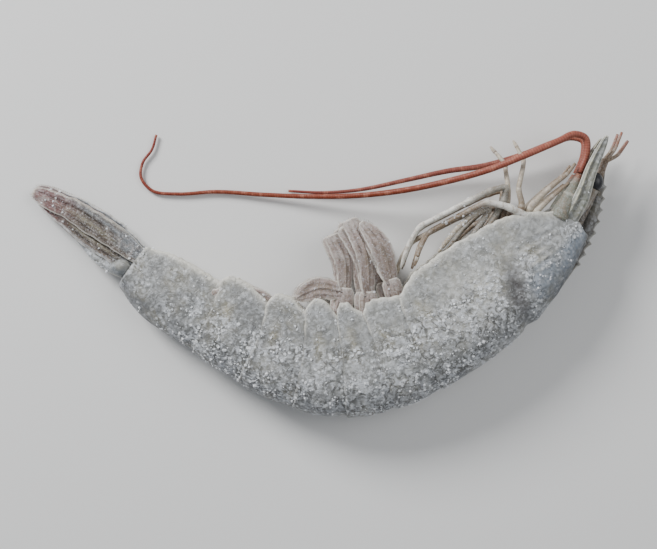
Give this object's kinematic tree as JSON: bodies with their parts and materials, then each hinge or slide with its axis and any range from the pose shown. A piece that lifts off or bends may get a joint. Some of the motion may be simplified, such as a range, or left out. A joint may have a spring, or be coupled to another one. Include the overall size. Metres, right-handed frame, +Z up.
{
  "type": "raw whiteleg shrimp",
  "caption": "Raw head-on, shell-on whiteleg shrimp, lightly frosted, lying curved on its side with legs, swimmerets, tail fan and long feelers.",
  "frame": {"origin": "centre of the bounding box at the surface that the shrimp lies on", "axes": "+X along the shrimp towards its head, +Y towards its belly, +Z up through its left flank"},
  "size_m": [0.1385, 0.0657, 0.0173],
  "materials": {
    "shell": "matte raw shell, grey, dusted with frost",
    "tail_fan": "matte thin shell, tan with a mauve tip",
    "limb": "matte thin shell, cream to tan",
    "swimmeret": "matte thin shell, pinkish tan",
    "eye": "dark, slightly glossy",
    "antenna": "orange-red, slightly glossy",
    "frost": "loose ice crystals"
  },
  "bodies": {
    "root": {"shrimp": "shell", "antenna_left": "antenna", "antenna_right": "antenna"}
  },
  "joints": []
}
